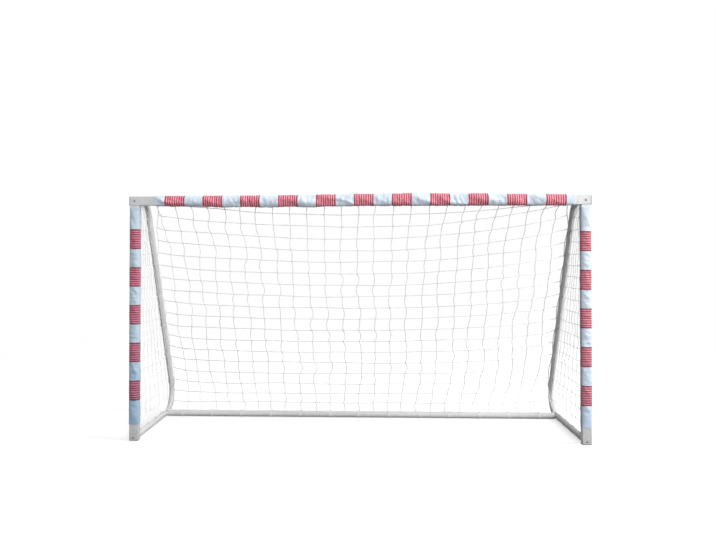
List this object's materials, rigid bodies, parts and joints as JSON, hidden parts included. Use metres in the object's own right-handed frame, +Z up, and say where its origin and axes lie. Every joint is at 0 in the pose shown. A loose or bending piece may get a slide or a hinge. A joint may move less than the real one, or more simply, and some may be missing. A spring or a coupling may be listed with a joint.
{
  "type": "soccer goal",
  "caption": "Free-standing garden soccer goal: rectangular front frame in fabric sleeves, bent round side tubes, a rear ground bar and a knotted net with side panels.",
  "frame": {"origin": "on the ground, in the middle of the overall box", "axes": "+Z up, +X along the crossbar, the mouth faces -Y"},
  "size_m": [3, 0.8996, 1.6],
  "materials": {
    "steel_profile": "satin",
    "white_tube": "satin",
    "grey_plastic": "matte",
    "zinc_fastener": "satin",
    "sleeve_fabric": "matte",
    "net_cord": "matte",
    "white_tape": "matte"
  },
  "bodies": {
    "root": {"crossbar_left": "steel_profile", "crossbar_middle": "steel_profile", "crossbar_right": "steel_profile", "crossbar_coupler_left": "steel_profile", "crossbar_coupler_right": "steel_profile", "crossbar_cap_left": "grey_plastic", "crossbar_cap_right": "grey_plastic", "post_left_lower": "steel_profile", "post_left_upper": "steel_profile", "post_right_lower": "steel_profile", "post_right_upper": "steel_profile", "post_coupler_left": "steel_profile", "post_coupler_right": "steel_profile", "foot_cap_left": "grey_plastic", "foot_cap_right": "grey_plastic", "sleeve_crossbar": "sleeve_fabric", "sleeve_post_left": "sleeve_fabric", "sleeve_post_right": "sleeve_fabric", "arm_tube_left": "white_tube", "arm_tube_right": "white_tube", "slope_tube_left": "white_tube", "slope_tube_right": "white_tube", "ground_tube_left": "white_tube", "ground_tube_right": "white_tube", "rear_bar_left": "white_tube", "rear_bar_middle": "white_tube", "rear_bar_right": "white_tube", "corner_plug_left": "zinc_fastener", "corner_plug_right": "zinc_fastener", "foot_plug_left": "zinc_fastener", "foot_plug_right": "zinc_fastener", "corner_bolt_left": "zinc_fastener", "corner_bolt_right": "zinc_fastener", "foot_bolt_left": "zinc_fastener", "foot_bolt_right": "zinc_fastener", "middle_screw_left": "zinc_fastener", "middle_screw_right": "zinc_fastener", "low_screw_left": "zinc_fastener", "low_screw_right": "zinc_fastener", "rear_screw_left": "zinc_fastener", "rear_screw_right": "zinc_fastener", "stub_screw_left": "zinc_fastener", "stub_screw_right": "zinc_fastener", "net_back": "net_cord", "net_left": "net_cord", "net_right": "net_cord", "rear_tie_left_1": "white_tape", "rear_tie_left_2": "white_tape", "rear_tie_left_3": "white_tape", "rear_tie_right_1": "white_tape", "rear_tie_right_2": "white_tape", "rear_tie_right_3": "white_tape", "slope_tie_left_1": "white_tape", "slope_tie_left_2": "white_tape", "slope_tie_left_3": "white_tape", "slope_tie_right_1": "white_tape", "slope_tie_right_2": "white_tape", "slope_tie_right_3": "white_tape"}
  },
  "joints": []
}
